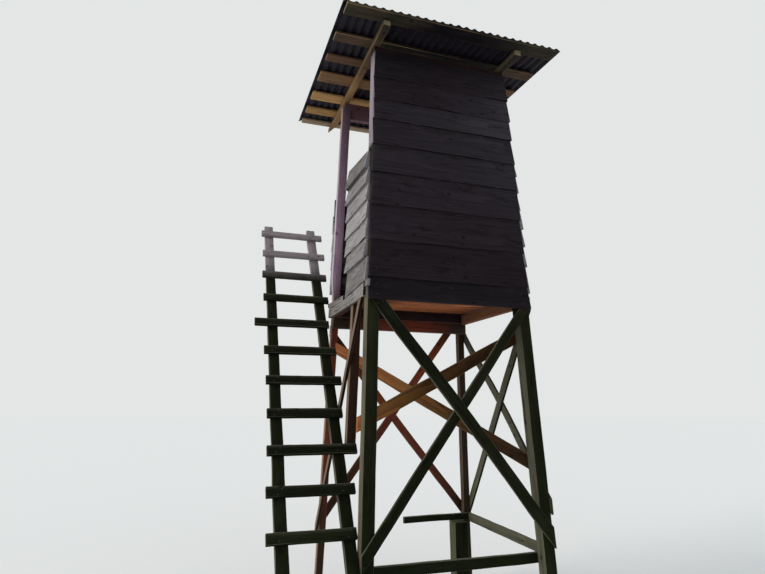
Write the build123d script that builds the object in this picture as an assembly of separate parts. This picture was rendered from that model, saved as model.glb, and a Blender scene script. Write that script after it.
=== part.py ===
from build123d import *
import math
import os

# Hunting high seat: a small boarded cabin on four splayed legs, with a ladder on its left.
# X runs to the right along the closed back wall, Y from the back to the front and Z up.
# Z is 0 at the ground. Heights named "above the floor" are added to floor_height.

# Legs and cabin
floor_height = 2650  # top of the floor
cabin_width = 1400  # over the legs, at the floor
cabin_depth = 1262
splay_x = 0.032  # how far a leg leans out for each unit of height, to the left or right
splay_y = 0.048  # the same, to the back or front
back_leg_width = 95  # along X
back_leg_depth = 100  # along Y
front_leg_width = 65
front_leg_depth = 65

# Foot post beside the front right leg
foot_post_width = 135
foot_post_depth = 135

# Rims that carry the floor, and the header under the front one
rim_thickness = 50
rim_height = 100
header_height = 107
header_thickness = 50
floor_thickness = 20
floor_notch_gap = 2
right_rim_drop = 12  # open slit between the floor and the right rim

# Low rails round the legs
back_rail_top = 610
low_rail_top = 660  # of the front and right rails
low_rail_height = 75
front_rail_height = 58
low_rail_thickness = 35
front_rail_end = 50  # where the broken front rail ends, from the middle

# Boards outside the left rim
edge_board_thickness = 26
rim_board_drop = 115  # its lower edge, below the floor
rim_board_places = [-580, 30, 640]  # its back end, the spot where it is worn down most, its front end
rim_board_heights = [105, 73, 97]  # at these places
step_board_drop = 36  # the lower corner of its back end, below the floor
step_board_height = 43
step_board_rise = 28  # from its back end to its front end
step_board_start = 80
step_board_end = 690
corner_block_length = 60
corner_block_height = 52
corner_block_drop = 0.5  # its top, below the floor
corner_block_overhang = 57  # past the back legs' outer face

# Lapped boards: thickness at a board's upper and lower edge
board_tip = 18
board_butt = 34

# Heights above the floor at which the boards of each wall start, and the wall's top
back_wall_laps = [-150, 30, 330, 630, 910, 1165, 1400, 1590, 1800]
back_wall_top = 2067
left_parapet_laps = [-38, 190, 352, 513, 677, 834, 985]
left_parapet_top = 1187
left_parapet_lift = 38  # its bottom edge rises this much towards the back
left_parapet_drop = 48  # its top edge falls this much towards the back
left_parapet_end_low = 0
left_parapet_end_high = 115
front_parapet_laps = [-20, 180, 370, 560, 740, 920]
front_parapet_top = 1100
front_parapet_overhang = 35
front_parapet_notch = 120  # above the floor, the boards' ends stand over the legs
right_parapet_laps = [-15, 220, 400, 560, 740, 905, 1070]
right_parapet_top = 1180
stud_width = 60
stud_depth = 60

# Roof frame: one plate on the back legs, one board outside the front legs, two rafters
rafter_rise = 2150  # underside of the rafters above the floor, at the middle
roof_slope = 0.05
back_plate_height = 60
back_plate_width = 70
front_plate_height = 175
front_plate_thickness = 50
front_leg_drop = 76  # from the rafters' lower line down to the front legs' tops
rafter_width = 62
rafter_height = 50
rafter_start = -825
rafter_end = 1300
rafter_overhang = 15  # past the legs' outer faces
rafter_slant = 230  # the front ends are cut aslant, shorter on the inner side
batten_thickness = 22
batten_length = 1950

# Battens: middle along Y, and width
battens = [(-850, 140), (-467, 118), (-137, 103), (204, 166), (590, 155), (915, 137), (1194, 95)]

# Corrugated sheets, two of them, lapped by one wave in the middle
wave_pitch = 74.5
wave_depth = 18
sheet_thickness = 4
sheet_waves = 14
wave_points = 8
lap_clearance = 0.4
sheet_start = -905
sheet_end = 1265

# Ladder, leaning past the left side
ladder_foot = -1164  # where the rails' upper face meets the ground
ladder_run = 0.6865  # horizontal run for each unit of height
ladder_top = 3640
ladder_rail_width = 90
ladder_rail_thickness = 50
left_rail_offset = 580  # from the cabin's left face, at the floor, to the rail's middle
right_rail_offset = 113

# Rungs from the lowest up, and how far each passes the rails' outer faces
rung_height = 80
rung_thickness = 30
rung_count = 13
rung_end_gap = 0.3
first_rung = 291
rung_spacing = 268.5
rung_left_overhangs = [55, 60, 61, 54, 40, 32, 33, 42, 120, 35, 40, 30, 37]
rung_right_overhangs = [48, 56, 0, 42, 0, 26, 56, 46, 14, 0, 53, 65, 64]
rung_stops = {2: "leg", 4: "strut", 9: "step board"}  # rungs whose right end meets a piece

# Strut under the left rim, its foot behind the upper edge of a rung
strut_width = 75
strut_depth = 73
strut_foot = 1345

# Braces: inset from the legs' outer edge and height of the lower end, inset and drop below
# the floor of the upper end, and width
back_brace_up = ((23, 688), (3, 88), 76)
back_brace_down = ((11, 745), (64, 135), 92)
front_brace_up = ((-7, 615), (63, 90), 72)
front_brace_down = ((48, 690), (8, 250), 72)
right_brace_up = ((12, 960), (22, 220), 72)
right_brace_down = ((25, 700), (39, 150), 72)
left_brace = ((52, 669), (127, 90), 56)
inner_brace = ((-55, 1552), (7, 342), 98)
inner_brace_overhang = 25
brace_thickness = 25
brace_seat = 250  # length over which a bowed brace lies flat at each end
brace_overrun = 200  # before the ends are cut off
bow_clearance = 0.8

# Brace through the tower, from the front left leg down to the back right one
tower_brace_front_inset = 63
tower_brace_front_drop = 417
tower_brace_back_inset = 41
tower_brace_back_height = 1248
tower_brace_width = 100

out_of = {
    "back": Vector(0, -1, 0),
    "front": Vector(0, 1, 0),
    "left": Vector(-1, 0, 0),
    "right": Vector(1, 0, 0),
}


def half_width(z):
    return cabin_width / 2 - splay_x * (z - floor_height)


def half_depth(z):
    return cabin_depth / 2 - splay_y * (z - floor_height)


def half_span(side, z):
    # Half the distance between the outer edges of a side's two legs
    return half_width(z) if side in ("back", "front") else half_depth(z)


def on_side(side, along, z, out=0):
    # Point on the outer face of a side's legs, moved outwards
    if side in ("back", "front"):
        face = Vector(along, out_of[side].Y * half_depth(z), z)
    else:
        face = Vector(out_of[side].X * half_width(z), along, z)
    return face + out_of[side] * out


def prism(points, way):
    return Solid.extrude(Face(Wire.make_polygon(points)), Vector(way))


def panel(side, outline, inner, outer):
    # Flat piece that leans with a side, between two distances out of the legs' outer faces
    points = [on_side(side, along, z, inner) for along, z in outline]
    return prism(points, out_of[side] * (outer - inner))


def trapezium(side, low, high, first_overhang=0, last_overhang=0):
    # Outline of a side between its legs' outer edges, the first at its left or back end
    bottom = half_span(side, low)
    top = half_span(side, high)
    return [
        (-bottom - first_overhang, low),
        (bottom + last_overhang, low),
        (top + last_overhang, high),
        (-top - first_overhang, high),
    ]


def inside_edges(side, piece, low, high, first_overhang=0):
    # Piece cut off at the legs' outer edges
    reach = cabin_width
    return piece & panel(side, trapezium(side, low, high, first_overhang), -reach, reach)


def leg_size(y_side):
    if y_side < 0:
        return back_leg_width, back_leg_depth
    return front_leg_width, front_leg_depth


def leg(x_side, y_side, top):
    width, depth = leg_size(y_side)
    corners = [(0, 0), (width, 0), (width, depth), (0, depth)]
    foot = []
    for inwards_x, inwards_y in corners:
        foot.append((x_side * (half_width(0) - inwards_x), y_side * (half_depth(0) - inwards_y), 0))
    return prism(foot, (-x_side * splay_x * top, -y_side * splay_y * top, top))


def foot_post(top):
    outer = half_width(0) - front_leg_width
    front = half_depth(0)
    foot = [
        (outer, front, 0),
        (outer, front - foot_post_depth, 0),
        (outer - foot_post_width, front - foot_post_depth, 0),
        (outer - foot_post_width, front, 0),
    ]
    return prism(foot, (-splay_x * top, -splay_y * top, top))


def cross_rail(side, top, height, thickness, left_end=None):
    # Rail on the inner faces of the back or front legs
    low = top - height
    depth = leg_size(out_of[side].Y)[1]
    outline = trapezium(side, low, top)
    if left_end is not None:
        outline = [(left_end, low)] + outline[1:3] + [(left_end, top)]
    return panel(side, outline, -depth - thickness, -depth)


def side_rail(side, top, height, thickness, cross_thickness):
    # Rail flush with the left or right legs, between the two cross rails
    back_inset = back_leg_depth + cross_thickness
    front_inset = front_leg_depth + cross_thickness
    return panel(side, trapezium(side, top - height, top, -back_inset, -front_inset), -thickness, 0)


def lapped_wall(side, laps, top, outline):
    # Wall of overlapping boards: each board's lower edge stands proud of the next one down
    edges = [floor_height + lap for lap in laps] + [floor_height + top]
    far_end = -cabin_width
    points = [on_side(side, far_end, edges[0]), on_side(side, far_end, edges[0], board_butt)]
    for upper in edges[1:-1]:
        points.append(on_side(side, far_end, upper, board_tip))
        points.append(on_side(side, far_end, upper, board_butt))
    points.append(on_side(side, far_end, edges[-1], board_tip))
    points.append(on_side(side, far_end, edges[-1]))
    along = Vector(1, 0, 0) if side in ("back", "front") else Vector(0, 1, 0)
    boards = prism(points, along * 2 * cabin_width)
    return boards & panel(side, outline, -board_butt, 2 * board_butt)


def back_wall():
    low = floor_height + back_wall_laps[0]
    high = floor_height + back_wall_top
    return lapped_wall("back", back_wall_laps, back_wall_top, trapezium("back", low, high))


def left_parapet():
    low = floor_height + left_parapet_laps[0]
    high = floor_height + left_parapet_top
    outline = [
        (-half_depth(low), low + left_parapet_lift),
        (left_parapet_end_low, low),
        (left_parapet_end_high, high),
        (-half_depth(high), high - left_parapet_drop),
    ]
    return lapped_wall("left", left_parapet_laps, left_parapet_top, outline)


def front_parapet():
    low = floor_height + front_parapet_laps[0]
    high = floor_height + front_parapet_top
    notch = floor_height + front_parapet_notch
    upper = trapezium("front", notch, high, front_parapet_overhang, front_parapet_overhang)
    lower = trapezium("front", low, notch)
    outline = lower[:3] + upper[1:] + upper[:1] + lower[3:]
    return lapped_wall("front", front_parapet_laps, front_parapet_top, outline)


def right_parapet():
    low = floor_height + right_parapet_laps[0]
    high = floor_height + right_parapet_top
    return lapped_wall("right", right_parapet_laps, right_parapet_top, trapezium("right", low, high))


def parapet_stud():
    # Post on the floor that holds the free ends of the left parapet's boards
    low = floor_height
    high = floor_height + left_parapet_top - left_parapet_drop
    end = left_parapet_end_low
    outline = [(end - stud_width, low), (end, low), (end, high), (end - stud_width, high)]
    return panel("left", outline, -stud_depth, 0)


def floor():
    low = floor_height - floor_thickness
    half_x = half_width(floor_height)
    half_y = half_depth(floor_height)
    sheet = Pos(0, 0, low + floor_thickness / 2) * Box(2 * half_x, 2 * half_y, floor_thickness)
    for y_side in (-1, 1):
        width, depth = leg_size(y_side)
        notch = Box(2 * (width + floor_notch_gap), 2 * (depth + floor_notch_gap), 3 * floor_thickness)
        for x_side in (-1, 1):
            sheet -= Pos(x_side * half_x, y_side * half_y, low) * notch
    return sheet


def edge_board(outline):
    # Board on the outside of the left rim
    return panel("left", outline, 0, edge_board_thickness)


def rim_board():
    low = floor_height - rim_board_drop
    top = [(place, low + height) for place, height in zip(rim_board_places, rim_board_heights)]
    return edge_board([(top[0][0], low), (top[-1][0], low)] + top[::-1])


def step_board():
    low = floor_height - step_board_drop
    high = low + step_board_height
    return edge_board([
        (step_board_start, low),
        (step_board_end, low + step_board_rise),
        (step_board_end, high + step_board_rise),
        (step_board_start, high),
    ])


def corner_block():
    high = floor_height - corner_block_drop
    low = high - corner_block_height
    start = -half_depth(floor_height) - corner_block_overhang
    end = start + corner_block_length
    return edge_board([(start, low), (end, low), (end, high), (start, high)])


def rafter_line(y):
    return floor_height + rafter_rise + roof_slope * y


def sloped_beam(y_start, y_end, x_start, x_end, drop, rise):
    # Beam under or over the rafters' lower line, from drop below it to rise above it
    points = [
        (x_start, y_start, rafter_line(y_start) - drop),
        (x_start, y_end, rafter_line(y_end) - drop),
        (x_start, y_end, rafter_line(y_end) + rise),
        (x_start, y_start, rafter_line(y_start) + rise),
    ]
    return prism(points, (x_end - x_start, 0, 0))


def leg_top(y_side, plate_height=0):
    # Height of the legs, under a plate or under the lowest part of the rafters' lower line
    outer = y_side * half_depth(rafter_line(half_depth(0)))
    inner = outer - y_side * leg_size(y_side)[1]
    return min(rafter_line(outer), rafter_line(inner)) - plate_height


def back_plate():
    # Plate on the back legs, inside the back wall's top
    bottom = leg_top(-1, back_plate_height)
    outer = -half_depth(bottom + back_plate_height)
    inner = outer + back_plate_width
    half = half_width(bottom)
    points = [
        (-half, outer, bottom),
        (-half, inner, bottom),
        (-half, inner, rafter_line(inner)),
        (-half, outer, rafter_line(outer)),
    ]
    return prism(points, (2 * half, 0, 0))


def front_plate():
    top = rafter_line(half_depth(rafter_line(half_depth(0))))
    return panel("front", trapezium("front", top - front_plate_height, top), 0, front_plate_thickness)


def rafter(x_side):
    outer = x_side * (half_width(leg_top(1)) + rafter_overhang)
    inner = outer - x_side * rafter_width
    beam = sloped_beam(rafter_start, rafter_end, outer, inner, 0, rafter_height)
    low = rafter_line(rafter_start) - rafter_height
    beyond = rafter_end + rafter_width
    corner = [
        (inner, rafter_end - rafter_slant, low),
        (inner, beyond, low),
        (outer, beyond, low),
        (outer, rafter_end, low),
    ]
    return beam - prism(corner, (0, 0, rafter_line(beyond) + 2 * rafter_height - low))


def roof_battens():
    seat = rafter_height
    top = rafter_height + batten_thickness
    x_end = batten_length / 2
    return [
        sloped_beam(middle - width / 2, middle + width / 2, -x_end, x_end, -seat, top)
        for middle, width in battens
    ]


def roof_sheet(x_side):
    # Corrugated sheet; the right one rides up over the last wave of the left one
    width = sheet_waves * wave_pitch
    outer = x_side * (width - wave_pitch / 2)
    lift = sheet_thickness + lap_clearance if x_side > 0 else 0
    seat = rafter_line(sheet_start) + rafter_height + batten_thickness
    lower = []
    for step in range(sheet_waves * wave_points + 1):
        inwards = step * wave_pitch / wave_points
        wave = wave_depth / 2 * (1 - math.cos(2 * math.pi * inwards / wave_pitch))
        lower.append((outer - x_side * inwards, sheet_start, seat + wave + lift * inwards / width))
    upper = [(x, y, z + sheet_thickness) for x, y, z in reversed(lower)]
    length = sheet_end - sheet_start
    return prism(lower + upper, (0, length, roof_slope * length))


def ladder_face(z):
    # Where the rails' upper face is at a height
    return ladder_foot + ladder_run * z


ladder_angle = math.atan2(1, ladder_run)
up_ladder = Vector(0, math.cos(ladder_angle), math.sin(ladder_angle))
off_ladder = Vector(0, -math.sin(ladder_angle), math.cos(ladder_angle))


def ladder_rail(offset):
    left = -cabin_width / 2 - offset - ladder_rail_width / 2
    back_foot = ladder_foot + ladder_rail_thickness / math.sin(ladder_angle)
    top_front = Vector(left, ladder_face(ladder_top), ladder_top)
    points = [
        (left, ladder_foot, 0),
        (left, back_foot, 0),
        top_front - off_ladder * ladder_rail_thickness,
        top_front,
    ]
    return prism(points, (ladder_rail_width, 0, 0))


def rung_middle(index):
    return first_rung + index * rung_spacing


def rung_right_end(index):
    z = rung_middle(index)
    low = z - rung_height / 2
    stop = rung_stops.get(index)
    if stop == "leg":
        return -half_width(low) - rung_end_gap
    if stop == "strut":
        return -half_width(z) + strut_width
    if stop == "step board":
        return -half_width(low) - edge_board_thickness - rung_end_gap
    rail_face = -cabin_width / 2 - right_rail_offset + ladder_rail_width / 2
    return rail_face + rung_right_overhangs[index]


def ladder_rungs():
    rungs = []
    rail_face = -cabin_width / 2 - left_rail_offset - ladder_rail_width / 2
    for index in range(rung_count):
        z = rung_middle(index)
        left = rail_face - rung_left_overhangs[index]
        low = Vector(left, ladder_face(z), z) - up_ladder * (rung_height / 2)
        high = low + up_ladder * rung_height
        points = [low, high, high + off_ladder * rung_thickness, low + off_ladder * rung_thickness]
        rungs.append(prism(points, (rung_right_end(index) - left, 0, 0)))
    return rungs


def ladder_strut():
    top = floor_height - floor_thickness - rim_height
    over_strut = [index for index, stop in rung_stops.items() if stop == "strut"]
    rung_top = rung_middle(over_strut[0]) + up_ladder.Z * rung_height / 2
    near = ladder_face(rung_top)
    outline = [
        (near, strut_foot),
        (near + strut_depth, strut_foot),
        (near + strut_depth, top),
        (near, top),
    ]
    return panel("left", outline, -strut_width, 0)


def brace_line(side, ends, direction):
    # Middle line of a brace that rises (direction 1) or falls (-1) along a side
    (low_inset, low), (high_inset, drop), width = ends
    high = floor_height - drop
    low_end = (-direction * (half_span(side, low) - low_inset), low)
    high_end = (direction * (half_span(side, high) - high_inset), high)
    return low_end, high_end, width


def strip(line):
    # Outline of a brace round its middle line, longer than its ends
    start, end, width = line
    way = (Vector(*end) - Vector(*start)).normalized()
    across = Vector(-way.Y, way.X) * (width / 2)
    first = Vector(*start) - way * brace_overrun
    last = Vector(*end) + way * brace_overrun
    corners = [first - across, last - across, last + across, first + across]
    return [(corner.X, corner.Y) for corner in corners]


def brace(side, line, high, inner=0, outer=brace_thickness, overhang=0):
    # Straight brace cut off at the legs' outer edges and at a height
    return inside_edges(side, panel(side, strip(line), inner, outer), 0, high, overhang)


def crossing(first, second):
    # Distance from the first line's start to where the second line crosses it
    a, b = Vector(*first[0]), Vector(*first[1])
    c, d = Vector(*second[0]), Vector(*second[1])
    way, other = b - a, d - c
    return ((c - a).cross(other).Z / way.cross(other).Z) * way.length


def bowed_brace(side, line, under, high):
    # Brace that lies on the legs at its ends and bows out over the brace it crosses
    start, end, width = line
    way = (Vector(*end) - Vector(*start)).normalized()
    length = (Vector(*end) - Vector(*start)).length
    across = Vector(-way.Y, way.X) * width

    def at(distance, out):
        spot = Vector(*start) + way * distance - across * 0.5
        return on_side(side, spot.X, spot.Y, out)

    rise = brace_thickness + bow_clearance
    middle = crossing(line, under)
    before = -brace_overrun
    beyond = length + brace_overrun
    last_seat = length - brace_seat
    top = brace_thickness
    inner = [
        Line(at(before, 0), at(brace_seat, 0)),
        ThreePointArc(at(brace_seat, 0), at(middle, rise), at(last_seat, 0)),
        Line(at(last_seat, 0), at(beyond, 0)),
    ]
    outer = [
        Line(at(beyond, top), at(last_seat, top)),
        ThreePointArc(at(last_seat, top), at(middle, rise + top), at(brace_seat, top)),
        Line(at(brace_seat, top), at(before, top)),
    ]
    ends = [Line(at(beyond, 0), at(beyond, top)), Line(at(before, top), at(before, 0))]
    profile = Face(Wire(inner + [ends[0]] + outer + [ends[1]]))
    width_way = on_side(side, across.X, across.Y) - on_side(side, 0, 0)
    return inside_edges(side, Solid.extrude(profile, width_way), 0, high)


def tower_brace():
    high = floor_height - tower_brace_front_drop
    low = tower_brace_back_height
    start = Vector(-half_width(high) + tower_brace_front_inset, half_depth(high) - front_leg_depth, high)
    end = Vector(half_width(low) - tower_brace_back_inset, -half_depth(low) + back_leg_depth, low)
    way = (end - start).normalized()
    sideways = Vector(-way.Y, way.X, 0).normalized() * brace_thickness
    across = way.cross(sideways).normalized() * (tower_brace_width / 2)
    first = start - way * brace_overrun - sideways * 0.5
    last = end + way * brace_overrun - sideways * 0.5
    piece = prism([first - across, last - across, last + across, first + across], sideways)
    for side in ("back", "front"):
        depth = leg_size(out_of[side].Y)[1]
        between = trapezium(side, 0, floor_height, cabin_width, cabin_width)
        piece &= panel(side, between, -half_depth(0) - cabin_depth, -depth)
    return piece


def build():
    back_leg_top = leg_top(-1, back_plate_height)
    front_leg_top = leg_top(1, front_leg_drop)
    floor_under = floor_height - floor_thickness
    header_top = floor_under - rim_height
    low_rail = (low_rail_height, low_rail_thickness)
    rim = (rim_height, rim_thickness)

    back_braces_top = floor_height + back_wall_laps[0]
    front_braces_top = floor_height + front_parapet_laps[0]
    right_braces_top = floor_height + right_parapet_laps[0]
    back_rising = brace_line("back", back_brace_up, 1)
    front_rising = brace_line("front", front_brace_up, 1)
    right_falling = brace_line("right", right_brace_down, -1)

    return {
        "back_left_leg": leg(-1, -1, back_leg_top),
        "back_right_leg": leg(1, -1, back_leg_top),
        "front_left_leg": leg(-1, 1, front_leg_top),
        "front_right_leg": leg(1, 1, front_leg_top),
        "front_right_foot_post": foot_post(low_rail_top - low_rail_height),
        "back_low_rail": cross_rail("back", back_rail_top, *low_rail),
        "front_low_rail": cross_rail(
            "front", low_rail_top, front_rail_height, low_rail_thickness, front_rail_end
        ),
        "right_low_rail": side_rail("right", low_rail_top, *low_rail, low_rail_thickness),
        "back_rim": cross_rail("back", floor_under, *rim),
        "front_rim": cross_rail("front", floor_under, *rim),
        "left_rim": side_rail("left", floor_under, *rim, rim_thickness),
        "right_rim": side_rail("right", floor_under - right_rim_drop, *rim, rim_thickness),
        "front_header": cross_rail("front", header_top, header_height, header_thickness),
        "floor": floor(),
        "left_rim_board": rim_board(),
        "step_board": step_board(),
        "corner_block": corner_block(),
        "back_wall": back_wall(),
        "left_parapet": left_parapet(),
        "left_parapet_stud": parapet_stud(),
        "front_parapet": front_parapet(),
        "right_parapet": right_parapet(),
        "back_plate": back_plate(),
        "front_plate": front_plate(),
        "left_rafter": rafter(-1),
        "right_rafter": rafter(1),
        "roof_battens": roof_battens(),
        "left_roof_sheet": roof_sheet(-1),
        "right_roof_sheet": roof_sheet(1),
        "left_ladder_rail": ladder_rail(left_rail_offset),
        "right_ladder_rail": ladder_rail(right_rail_offset),
        "ladder_rungs": ladder_rungs(),
        "ladder_strut": ladder_strut(),
        "back_brace_rising": brace("back", back_rising, back_braces_top),
        "back_brace_falling": bowed_brace(
            "back", brace_line("back", back_brace_down, -1), back_rising, back_braces_top
        ),
        "front_brace_rising": brace("front", front_rising, front_braces_top),
        "front_brace_falling": bowed_brace(
            "front", brace_line("front", front_brace_down, -1), front_rising, front_braces_top
        ),
        "right_brace_rising": bowed_brace(
            "right", brace_line("right", right_brace_up, 1), right_falling, right_braces_top
        ),
        "right_brace_falling": brace("right", right_falling, right_braces_top),
        "left_brace": brace(
            "left", brace_line("left", left_brace, -1), floor_height - rim_board_drop
        ),
        "inner_brace": brace(
            "back",
            brace_line("back", inner_brace, 1),
            floor_under - rim_height,
            -back_leg_depth - brace_thickness,
            -back_leg_depth,
            inner_brace_overhang,
        ),
        "tower_brace": tower_brace(),
    }


def solids_of(piece):
    if isinstance(piece, list):
        return [solid for part in piece for solid in solids_of(part)]
    return list(piece.solids())


# The origin is on the ground, under the middle of everything that stands or hangs over it.
nodes = {name: solids_of(piece) for name, piece in build().items()}
everything = Compound([solid for solids in nodes.values() for solid in solids]).bounding_box()
to_origin = Pos(-everything.center().X, -everything.center().Y, 0)
print("shift", to_origin.position)

os.makedirs("parts", exist_ok=True)
for name, solids in nodes.items():
    placed = [to_origin * solid for solid in solids]
    export_step(placed[0] if len(placed) == 1 else Compound(placed), f"parts/{name}.step")
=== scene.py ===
import math
import random

import bmesh
import bpy
from mathutils import Matrix, Vector, noise
from mathutils.bvhtree import BVHTree


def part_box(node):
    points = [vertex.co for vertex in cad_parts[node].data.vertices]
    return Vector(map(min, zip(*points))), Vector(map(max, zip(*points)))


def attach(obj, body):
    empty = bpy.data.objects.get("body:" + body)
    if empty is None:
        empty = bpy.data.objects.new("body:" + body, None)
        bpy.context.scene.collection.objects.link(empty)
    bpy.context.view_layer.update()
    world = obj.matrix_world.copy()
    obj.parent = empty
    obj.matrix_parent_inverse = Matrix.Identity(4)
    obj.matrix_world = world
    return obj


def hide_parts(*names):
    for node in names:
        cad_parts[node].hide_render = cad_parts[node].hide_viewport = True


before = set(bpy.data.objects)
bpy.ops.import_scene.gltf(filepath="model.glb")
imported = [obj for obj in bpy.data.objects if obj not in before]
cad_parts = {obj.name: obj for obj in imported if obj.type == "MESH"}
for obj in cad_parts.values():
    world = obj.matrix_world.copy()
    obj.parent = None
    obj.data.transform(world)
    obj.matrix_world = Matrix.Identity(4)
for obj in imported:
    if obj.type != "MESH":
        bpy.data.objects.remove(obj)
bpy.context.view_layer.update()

scene = bpy.context.scene
surfaces = {}  # a search tree of each finished piece, for setting nails on it
seedNumber = 41  # noise and random draws start from it, so that each run is the same
noise.seed_set(seedNumber)


# camera, light and floor
view = {
    "place": (-1.6151, -4.5782, 1.7411),
    "pitch": 0.21009,
    "roll": 0.00326,
    "yaw": -0.31482,
    "lens": 25.156,
}
light = {
    "sky": (0.90, 0.95, 1.0),
    "skyStrength": 0.6,
    "backdrop": (0.772, 0.794, 0.786),
    "sunFrom": (-0.90, -0.04, 0.44),
    "sunColour": (1.0, 0.97, 0.91),
    "sunStrength": 1.7,
    "sunAngle": 28,
    "floorTone": (0.76, 0.76, 0.74),
    "floorSeen": (0.97, 0.97, 0.95),
    "floorRoughness": 0.9,
    "floorRadius": 60,
    "floorSides": 96,
}


def makeCamera():
    pitch = view["pitch"]
    yaw = view["yaw"]
    forward = Vector((
        -math.sin(yaw) * math.cos(pitch), math.cos(yaw) * math.cos(pitch), math.sin(pitch)
    ))
    level = Vector((math.cos(yaw), math.sin(yaw), 0))
    upright = level.cross(forward)
    right = level * math.cos(view["roll"]) + upright * math.sin(view["roll"])
    up = upright * math.cos(view["roll"]) - level * math.sin(view["roll"])
    turn = Matrix((right, up, -forward)).transposed().to_4x4()
    data = bpy.data.cameras.new("photoCamera")
    data.sensor_width = 36
    data.lens = view["lens"]
    camera = bpy.data.objects.new("photoCamera", data)
    camera.matrix_world = Matrix.Translation(view["place"]) @ turn
    scene.collection.objects.link(camera)
    scene.camera = camera


def srgb(red, green, blue):
    # 0-255 picture values to the linear values that the shaders take
    return tuple(((c / 255 + 0.055) / 1.055) ** 2.4 for c in (red, green, blue))


def ramp(*stops):
    # Colour stops from rows of a position and a picture colour
    return [(position, srgb(*colour)) for position, *colour in stops]


class Wire:
    # One output socket; sums on wires add their own Math nodes
    def __init__(self, shader, socket):
        self.shader = shader
        self.socket = socket

    def maths(self, operation, *values):
        return self.shader.node("ShaderNodeMath", {"operation": operation}, *values)

    def __add__(self, other):
        return self.maths("ADD", self, other)

    def __radd__(self, other):
        return self.maths("ADD", other, self)

    def __sub__(self, other):
        return self.maths("SUBTRACT", self, other)

    def __rsub__(self, other):
        return self.maths("SUBTRACT", other, self)

    def __mul__(self, other):
        return self.maths("MULTIPLY", self, other)

    def __rmul__(self, other):
        return self.maths("MULTIPLY", other, self)

    def __abs__(self):
        return self.maths("ABSOLUTE", self)

    def larger(self, other):
        return self.maths("MAXIMUM", self, other)

    def smaller(self, other):
        return self.maths("MINIMUM", self, other)

    def below(self, limit):
        return self.maths("LESS_THAN", self, limit)

    def sibling(self, name):
        # Another output of the same node
        return Wire(self.shader, self.socket.node.outputs[name])


class Shader:
    # A node tree with one way of adding nodes
    def __init__(self, tree):
        self.tree = tree

    def node(self, kind, settings=None, *values, out=0, **named):
        made = self.tree.nodes.new(kind)
        for key, value in (settings or {}).items():
            if key == "stops":
                self.setStops(made.color_ramp, value)
            else:
                setattr(made, key, value)
        free = [s for s in made.inputs if s.enabled]
        for socket, value in zip(free, values):
            self.feed(socket, value)
        for key, value in named.items():
            wanted = key.replace("_", " ")
            self.feed(next(s for s in free if s.name == wanted), value)
        outs = [s for s in made.outputs if s.enabled]
        found = outs[out] if isinstance(out, int) else next(s for s in outs if s.name == out)
        return Wire(self, found)

    def setStops(self, colourRamp, stops):
        while len(colourRamp.elements) < len(stops):
            colourRamp.elements.new(0.5)
        for element, (position, colour) in zip(colourRamp.elements, stops):
            element.position = position
            element.color = (*colour, 1)

    def feed(self, socket, value):
        if isinstance(value, Wire):
            self.tree.links.new(value.socket, socket)
        elif socket.type == "RGBA":
            socket.default_value = (*value[:3], 1)
        else:
            socket.default_value = value

    def mix(self, factor, first, second):
        return self.node("ShaderNodeMix", {"data_type": "RGBA"}, factor, first, second)

    def scale(self, vector, factor):
        return self.node("ShaderNodeVectorMath", {"operation": "SCALE"}, vector, Scale=factor)

    def stretch(self, vector, factors):
        return self.node("ShaderNodeVectorMath", {"operation": "MULTIPLY"}, vector, factors)

    def between(self, value, low, high):
        # 0 below low, 1 above high, smooth in between
        return self.node(
            "ShaderNodeMapRange", {"interpolation_type": "SMOOTHSTEP"}, value, low, high
        )

    def part(self, vector, axis):
        return self.node("ShaderNodeSeparateXYZ", None, vector, out=axis)

    def attribute(self, name, out="Fac"):
        return self.node("ShaderNodeAttribute", {"attribute_name": name}, out=out)

    def field(self, vector, factors, detail, roughness):
        # Noise that is stretched along the axes
        return self.node(
            "ShaderNodeTexNoise", None, Vector=self.stretch(vector, factors), Scale=1.0,
            Detail=detail, Roughness=roughness,
        )

    def bump(self, strength, depth, relief):
        return self.node(
            "ShaderNodeBump", None, Strength=strength, Distance=depth, Height=relief, out="Normal"
        )


def makeLight():
    world = bpy.data.worlds.new("studio")
    scene.world = world
    world.use_nodes = True
    sky = Shader(world.node_tree)
    camera = sky.node("ShaderNodeLightPath", out="Is Camera Ray")
    glossy = camera.sibling("Is Glossy Ray")
    through = camera.sibling("Is Transmission Ray")
    seen = camera.larger(glossy).larger(through)
    lit = sky.node(
        "ShaderNodeBackground", None, Color=light["sky"], Strength=light["skyStrength"]
    )
    shown = sky.node("ShaderNodeBackground", None, Color=light["backdrop"], Strength=1.0)
    both = sky.node("ShaderNodeMixShader", None, seen, lit, shown)
    sky.feed(world.node_tree.nodes["World Output"].inputs["Surface"], both)
    sun = bpy.data.lights.new("softKey", "SUN")
    sun.energy = light["sunStrength"]
    sun.angle = math.radians(light["sunAngle"])
    sun.color = light["sunColour"]
    lamp = bpy.data.objects.new("softKey", sun)
    lamp.matrix_world = Vector(light["sunFrom"]).to_track_quat("Z", "Y").to_matrix().to_4x4()
    scene.collection.objects.link(lamp)


def newMaterial(name):
    material = bpy.data.materials.new(name)
    material.use_nodes = True
    return material, Shader(material.node_tree), material.node_tree.nodes["Principled BSDF"]


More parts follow.
